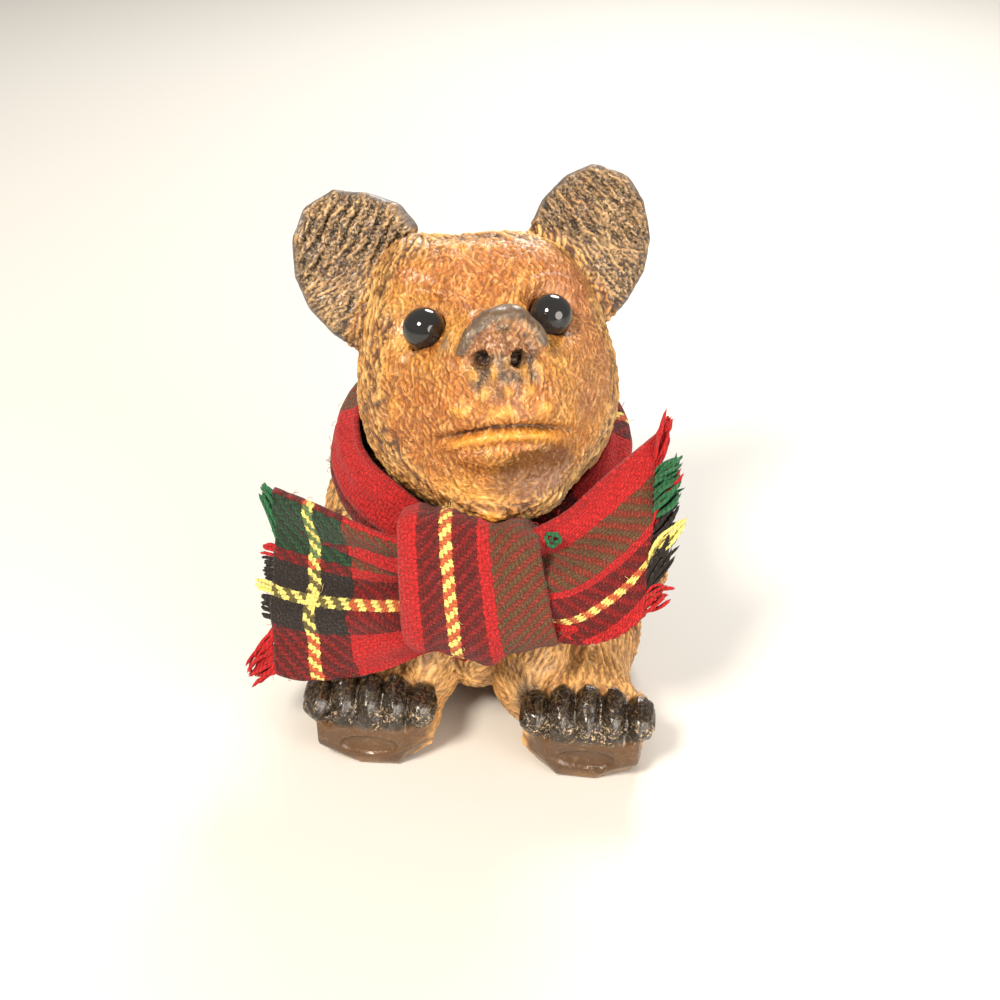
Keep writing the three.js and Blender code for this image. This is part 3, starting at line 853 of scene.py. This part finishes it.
def knot_shape(warp, share):
    """The cloth runs round a flat oval, nearly closed at the back, at an even pace."""
    def squared_off(wave):
        return np.sign(wave) * np.abs(wave) ** (2 / 3.2)

    angles = np.radians(np.linspace(-154, 154, 801))
    round_it = [knot_depth * squared_off(np.cos(angles)), knot_height * squared_off(np.sin(angles))]
    round_it = np.stack(round_it, axis=1)
    run = np.concatenate([[0], np.cumsum(np.linalg.norm(np.diff(round_it, axis=0), axis=1))])
    angle = np.interp(share * run[-1], run, angles)
    forward, upward = squared_off(np.cos(angle)), squared_off(np.sin(angle))
    low, high = 0.145, 0.80
    across = np.clip((warp - low) / (high - low), 0, 1)
    rolled = np.clip(low - warp, 0, 1) * scarf_width
    tucked = np.clip(warp - high, 0, 1) * scarf_width
    x = 0.3 + (across - 0.5) * 26.4 + np.where(rolled > 0, 2.6 * (1 - np.exp(-rolled / 2.4)), 0) - 0.9 * tucked
    inside = -1.9 * (1 - np.exp(-rolled / 1.2)) - 1.9 * (1 - np.exp(-tucked / 1.2))
    crown = 1.6 * (1 - (2 * across - 1) ** 4) - 0.6
    folds = 0.55 * ripple(2.1 * across + 0.25 * share, 0.8) * (0.35 + np.abs(upward) ** 2)
    folds += 0.35 * ripple(4.3 * across - 0.4 * share)
    out = crown + folds + inside
    y = -(6.6 + out) * forward
    z = (12.2 + out * 0.9 - 1.3 * (2 * across - 1) ** 2) * upward
    z = np.where(z < 0, z * (1 - 0.18 * ease(across, 0.5, 1)), z * (1 + 0.22 * ease(-across, -0.55, 0)))
    x = x * (1 - 0.07 * np.clip(upward, -1, 1)) - 0.13 * z
    return np.stack([x, y, z], axis=1) @ knot_lean.T + knot_middle


knot = woven_length("knot_turn", 84, 96, 0, 1, 264.0, 202.0, knot_shape)

pick(band, left_end, right_end, knot)
bpy.ops.object.join()
scarf = bpy.context.object
scarf.name = "tartan_scarf"
scarf.data.name = "tartan_scarf"


def clear_of_bear(points, gap):
    """Moves the points that lie in the casting, or closer to it than the gap, out to the gap."""
    for i, point in enumerate(points):
        hit, normal, _, away = cast_tree.find_nearest(Vector(point), 14)
        if hit is None:
            continue
        out = (Vector(point) - hit).dot(normal)
        if out < 0 or away < gap:
            points[i] = hit + normal * gap
    return points


cloth_places = clear_of_bear(mesh_places(scarf.data), cloth_gap)
put_places(scarf.data, cloth_places)
rub(scarf, 0.5, 2)
cloth_places = mesh_places(scarf.data)
cloth_normals = mesh_normals(scarf.data)
cloth_places += cloth_normals * (0.12 * wander(cloth_places + 300, 1.3))[:, None]
put_places(scarf.data, cloth_places)
wall = scarf.modifiers.new("wall", "SOLIDIFY")
wall.thickness = cloth_thickness / 1000
wall.offset = 0
wall.use_even_offset = False
bpy.ops.object.modifier_apply(modifier=wall.name)
bpy.ops.object.shade_smooth()

red_wool, green_wool = (0.43, 0.011, 0.013, 1), (0.022, 0.125, 0.05, 1)
black_wool, yellow_wool = (0.018, 0.013, 0.012, 1), (0.88, 0.74, 0.20, 1)
warp_order = ((0, red_wool), (14, black_wool), (21, yellow_wool), (24, black_wool), (31, red_wool),
              (34, green_wool), (48, red_wool))
weft_order = ((0, black_wool), (9, yellow_wool), (12, black_wool), (19, red_wool), (112, green_wool),
              (126, red_wool), (129, black_wool), (136, yellow_wool), (139, black_wool), (146, red_wool),
              (186, green_wool), (200, red_wool), (203, black_wool), (210, yellow_wool), (213, black_wool),
              (220, red_wool), (246, black_wool), (266, red_wool))


def banded(bench, value, order, count):
    """The colour of a numbered yarn, from the first numbers of the stripes."""
    ramp = bench.add("ValToRGB", {0: value})
    ramp.color_ramp.interpolation = "CONSTANT"
    for i, (first, colour) in enumerate(order):
        if i < 2:
            mark = ramp.color_ramp.elements[i]
            mark.position = first / count
        else:
            mark = ramp.color_ramp.elements.new(first / count)
        mark.color = colour
    return ramp.outputs[0]


bench = Bench("tartan_wool")
weave = bench.add("SeparateXYZ", {0: bench.add("UVMap", uv_map="weave").outputs[0]})
warp_at = bench.times(weave.outputs[0], float(warp_count))
pick_at = bench.times(weave.outputs[1], float(pick_count))
ragged_parts = bench.add("SeparateColor", {0: bench.noise(1900.0, 2.0, out="Color")})
warp_at = bench.sum("ADD", warp_at, bench.sum("MULTIPLY_ADD", ragged_parts.outputs[0], 1.3, -0.65))
pick_at = bench.sum("ADD", pick_at, bench.sum("MULTIPLY_ADD", ragged_parts.outputs[1], 1.3, -0.65))
warp_number = bench.sum("FLOOR", warp_at)
pick_number = bench.sum("FLOOR", pick_at)
step_count = bench.sum("FLOORED_MODULO", bench.sum("ADD", warp_number, pick_number), 4.0)
warp_on_top = bench.sum("LESS_THAN", step_count, 1.5)
warp_share = bench.sum("DIVIDE", bench.sum("ADD", warp_number, 0.5), float(warp_count))
warp_colour = banded(bench, warp_share, warp_order, warp_count)
weft_share = bench.sum("DIVIDE", bench.sum("ADD", pick_number, 0.5), float(pick_count))
weft_colour = banded(bench, weft_share, weft_order, pick_count)
bright = [bench.add("SeparateColor", {0: colour}).outputs[1] for colour in (weft_colour, warp_colour)]
bright = bench.sum("GREATER_THAN", bench.sum("MAXIMUM", *bright), 0.5)
blurred = bench.sum("MULTIPLY_ADD", warp_on_top, 0.36, 0.28)
crisp = bench.sum("MULTIPLY_ADD", warp_on_top, 0.78, 0.12)
warp_shows = bench.add("Mix", {0: bright, 2: blurred, 3: crisp}).outputs[0]
wool = bench.blend(warp_shows, weft_colour, warp_colour)
mixed = bench.sum("GREATER_THAN", bench.vector("DISTANCE", weft_colour, warp_colour, out=1), 0.05)
mixed = bench.times(mixed, bench.sum("SUBTRACT", 1.0, bright))
hairs = bench.noise(3800.0, 3.0, 0.7)
shade = bench.between(hairs, 0.32, 0.68, 0.45, 1.35)
shade = bench.times(shade, bench.sum("MULTIPLY_ADD", mixed, -0.38, 1.0))
wool = bench.shaded(wool, shade)
pale = bench.times(bench.between(hairs, 0.58, 0.72), 0.13)
wool = bench.blend(pale, wool, (0.75, 0.52, 0.42, 1))


def rounded(value):
    """The round height of a yarn across one count of the value."""
    part = bench.sum("FRACT", value)
    middle = bench.sum("ABSOLUTE", bench.sum("SUBTRACT", part, 0.5))
    return bench.sum("SUBTRACT", 1.0, bench.sum("POWER", bench.times(middle, 2.0), 2.0))


over_two = bench.sum("DIVIDE", bench.sum("FLOORED_MODULO", bench.sum("ADD", pick_at, warp_number), 4.0), 2.0)
under_two = bench.sum("FLOORED_MODULO", bench.sum("ADD", warp_at, pick_number), 4.0)
under_two = bench.sum("DIVIDE", bench.sum("SUBTRACT", under_two, 2.0), 2.0)
warp_height = bench.times(rounded(warp_at), rounded(over_two))
weft_height = bench.times(rounded(pick_at), rounded(under_two))
yarn_height = bench.add("Mix", {0: warp_on_top, 2: weft_height, 3: warp_height}).outputs[0]
# Painted shade: the wool is darkened where a yarn dips below its neighbours.
yarn_gap_shade = bench.between(yarn_height, 0.0, 0.5, 0.52, 1.0)
cloth_height = bench.sum("ADD", yarn_height, bench.times(hairs, 0.8))
bench.surface({
    "Base Color": bench.shaded(wool, yarn_gap_shade),
    "Roughness": 0.88,
    "Specular IOR Level": 0.25,
    "Sheen Weight": 0.08,
    "Sheen Roughness": 0.5,
    "Normal": bench.relief(cloth_height, 0.7, 0.0003),
})
scarf.data.materials.clear()
scarf.data.materials.append(bench.material)

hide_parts("scarf")
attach(scarf, "root")

# The fringe: past the last pick the scarf's own wool warps hang loose, held by the weave. Some are
# drawn to a point, others curl or loop. One yarn is modelled, and each of the others is a copy of it.
def yarn_to_copy(around, along):
    """A flat grid to be rolled into a yarn, with its places and the vertex of each corner."""
    bpy.ops.object.select_all(action="DESELECT")
    bpy.ops.mesh.primitive_grid_add(x_subdivisions=around, y_subdivisions=along, size=1, calc_uvs=True)
    first = bpy.context.object
    corners = np.empty(len(first.data.loops), int)
    first.data.loops.foreach_get("vertex_index", corners)
    first.data.uv_layers[0].name = "weave"
    return first, mesh_places(first.data) / 1000 + 0.5, corners


first_yarn = yarn_to_copy(5, 8)
first_hair = yarn_to_copy(3, 4)
sway = np.random.default_rng(23)
yarns = []


def lay_yarn(path, thickness, warp, first=first_yarn):
    """Wraps a copy of the first yarn round a path, closed at both of its ends."""
    pattern, yarn_flat, yarn_corners = first
    yarn = pattern.copy()
    yarn.data = pattern.data.copy()
    bpy.context.scene.collection.objects.link(yarn)
    share = yarn_flat[:, 1]
    centre = curve_through(path, share)
    way = unit(curve_through(path, share + 0.03) - curve_through(path, share - 0.03))
    side = unit(np.cross(way, np.array((0.3, 0.2, 0.93))))
    over = np.cross(side, way)
    angle = 2 * np.pi * yarn_flat[:, 0]
    radius = thickness * np.sqrt(np.clip(1.0 - (np.abs(2 * share - 1)) ** 7, 0, 1))
    ring = side * np.cos(angle)[:, None] + over * np.sin(angle)[:, None]
    put_places(yarn.data, centre + ring * radius[:, None])
    uv = np.stack([np.full(len(yarn_corners), warp), share[yarn_corners]], axis=1)
    yarn.data.uv_layers[0].data.foreach_set("uv", uv.astype(np.float32).ravel())
    yarns.append(yarn)


def fringe_group(shape, first, last, length, aim, gather, droop, curl, strands):
    """The loose warps from first to last: aim is along the cloth, down its end and towards the front."""
    numbers = np.arange(first, last + 1) + 0.5
    warp = np.repeat(numbers, strands) / warp_count
    warp = warp + sway.normal(0, 0.002, len(warp))
    ones = np.ones(len(warp))
    root = shape(warp, ones * 0.985)
    way = unit(shape(warp, ones) - shape(warp, ones * 0.95))
    drop = unit(shape(np.array([0.3]), np.ones(1)) - shape(np.array([0.6]), np.ones(1)))
    drop = drop * np.sign(-drop[0, 2])
    ahead = unit(np.cross(way, drop))
    ahead = ahead * np.sign(-ahead[:, 1:2])
    goal = root.mean(axis=0)
    for i in range(len(warp)):
        reach = length * sway.uniform(0.82, 1.12)
        heading = aim[0] * way[i] + aim[1] * drop[0] + aim[2] * ahead[i] + sway.normal(0, 0.07, 3)
        bow = sway.normal(0, 0.05 + 0.1 * curl, 3) * length
        steps = []
        for t in (0, 0.2, 0.4, 0.6, 0.8, 1.0):
            point = root[i] + heading * reach * t + (goal - root[i]) * gather * t**0.8
            point = point + bow * math.sin(math.pi * t) + np.array((0, 0, -droop * length)) * t * t
            turn = curl * t * 2.6
            aside = ahead[i] * math.sin(turn * 2) + drop[0] * (1 - math.cos(turn * 2))
            point = point + aside * curl * 0.16 * length
            steps.append(point)
        lay_yarn(clear_of_bear(np.array(steps), 0.5), sway.uniform(0.30, 0.38), float(warp[i]))


for shape, first, last, length, aim, gather, droop, curl, strands in (
    (right_shape, 0, 13, 6.8, (1.0, 0.10, 0.1), 0.55, 0.35, 0.1, 1),
    (right_shape, 14, 20, 7.8, (1.0, -0.12, 0.1), 0.15, 0.12, 0.15, 2),
    (right_shape, 21, 23, 9.4, (1.0, -0.30, 0.35), 0.5, 0.45, 0.02, 2),
    (right_shape, 24, 30, 7.8, (1.0, -0.15, 0.1), 0.15, 0.08, 0.15, 2),
    (right_shape, 31, 33, 8.6, (0.9, -0.45, 0.1), 0.5, -0.05, 0.1, 1),
    (right_shape, 34, 47, 6.6, (0.9, -0.2, 0.3), 0.12, 0.10, 0.6, 4),
    (right_shape, 48, 59, 4.6, (0.8, -0.55, 0.0), 0.45, 0.0, 0.1, 2),
    (left_shape, 0, 13, 7.6, (0.62, 0.75, 0.1), 0.5, 0.12, 0.1, 2),
    (left_shape, 14, 20, 2.6, (1.0, 0.0, 0.1), 0.1, 0.1, 0.3, 2),
    (left_shape, 21, 23, 4.0, (1.0, -0.2, 0.3), 0.2, 0.1, 0.5, 2),
    (left_shape, 24, 30, 2.6, (1.0, 0.0, 0.1), 0.1, 0.0, 0.3, 2),
    (left_shape, 31, 33, 3.2, (1.0, 0.1, 0.1), 0.2, 0.0, 0.2, 2),
    (left_shape, 34, 47, 6.5, (0.55, -0.75, 0.1), 0.75, -0.05, 0.3, 1),
    (right_shape, 50, 51, 7.5, (0.2, -1.1, 0.3), 0.6, 0.0, 0.2, 1),
):
    fringe_group(shape, first, last, length, aim, gather, droop, curl, strands)

# One green warp is pulled up into a small loop beside the knot.
loop_yarn = yarn_to_copy(6, 24)
for size, start in ((1.2, 0.0), (0.8, 2.4)):
    turns = start + np.linspace(0, 2.1 * np.pi, 12)
    wide = size * (1 + 0.18 * np.sin(3 * turns + start))
    ring = np.stack([wide * np.cos(turns), -0.25 * np.sin(2 * turns + start), 1.1 * wide * np.sin(turns)], axis=1)
    lay_yarn(np.array((13.1 + 0.2 * start, -35.0, 48.6 + 0.1 * start)) + ring, 0.38, 40 / warp_count, loop_yarn)

# Loose hairs stand off the cloth all over.
hair_count = 2000
faces = scarf.data.polygons
areas = np.array([f.area for f in faces])
uv_of = scarf.data.uv_layers["weave"].data
for number in sway.choice(len(faces), hair_count, p=areas / areas.sum()):
    face_of_cloth = faces[int(number)]
    start = np.array(face_of_cloth.center) * 1000
    out = np.array(face_of_cloth.normal)
    lie = unit(np.cross(out, sway.normal(0, 1, 3)))
    reach = sway.uniform(0.7, 2.2)
    bow = unit(sway.normal(0, 1, 3)) * reach * 0.25
    path = [
        start + lie * reach * t + out * reach * 0.55 * math.sin(2.2 * t) + bow * math.sin(math.pi * t)
        for t in (0, 0.25, 0.5, 0.75, 1)
    ]
    lay_yarn(np.array(path), 0.05, float(uv_of[face_of_cloth.loop_start].uv[0]), first_hair)
for pattern, _, _ in (first_yarn, first_hair, loop_yarn):
    bpy.data.objects.remove(pattern)
pick(*yarns)
bpy.ops.object.join()
fringe = bpy.context.object
fringe.name = "scarf_fringe"
fringe.data.name = "scarf_fringe"
bpy.ops.object.mode_set(mode="EDIT")
bpy.ops.mesh.select_all(action="SELECT")
bpy.ops.mesh.remove_doubles(threshold=0.00001)
bpy.ops.mesh.normals_make_consistent(inside=False)
bpy.ops.object.mode_set(mode="OBJECT")
bpy.ops.object.shade_smooth()

bench = Bench("loose_wool")
weave = bench.add("SeparateXYZ", {0: bench.add("UVMap", uv_map="weave").outputs[0]})
yarn_colour = banded(bench, weave.outputs[0], warp_order, warp_count)
hairs = bench.noise(3600.0, 3.0, 0.7)
twist = bench.add("TexWave", {"Vector": bench.place, "Scale": 420.0, "Distortion": 3.0}).outputs[0]
shade = bench.times(bench.between(hairs, 0.32, 0.68, 0.45, 1.45), bench.between(twist, 0, 1, 0.75, 1.1))
bench.surface({
    "Base Color": bench.shaded(yarn_colour, shade),
    "Roughness": 0.9,
    "Specular IOR Level": 0.2,
    "Sheen Weight": 0.1,
    "Sheen Roughness": 0.5,
    "Normal": bench.relief(bench.sum("ADD", hairs, twist), 0.7, 0.0003),
})
fringe.data.materials.clear()
fringe.data.materials.append(bench.material)
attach(fringe, "root")
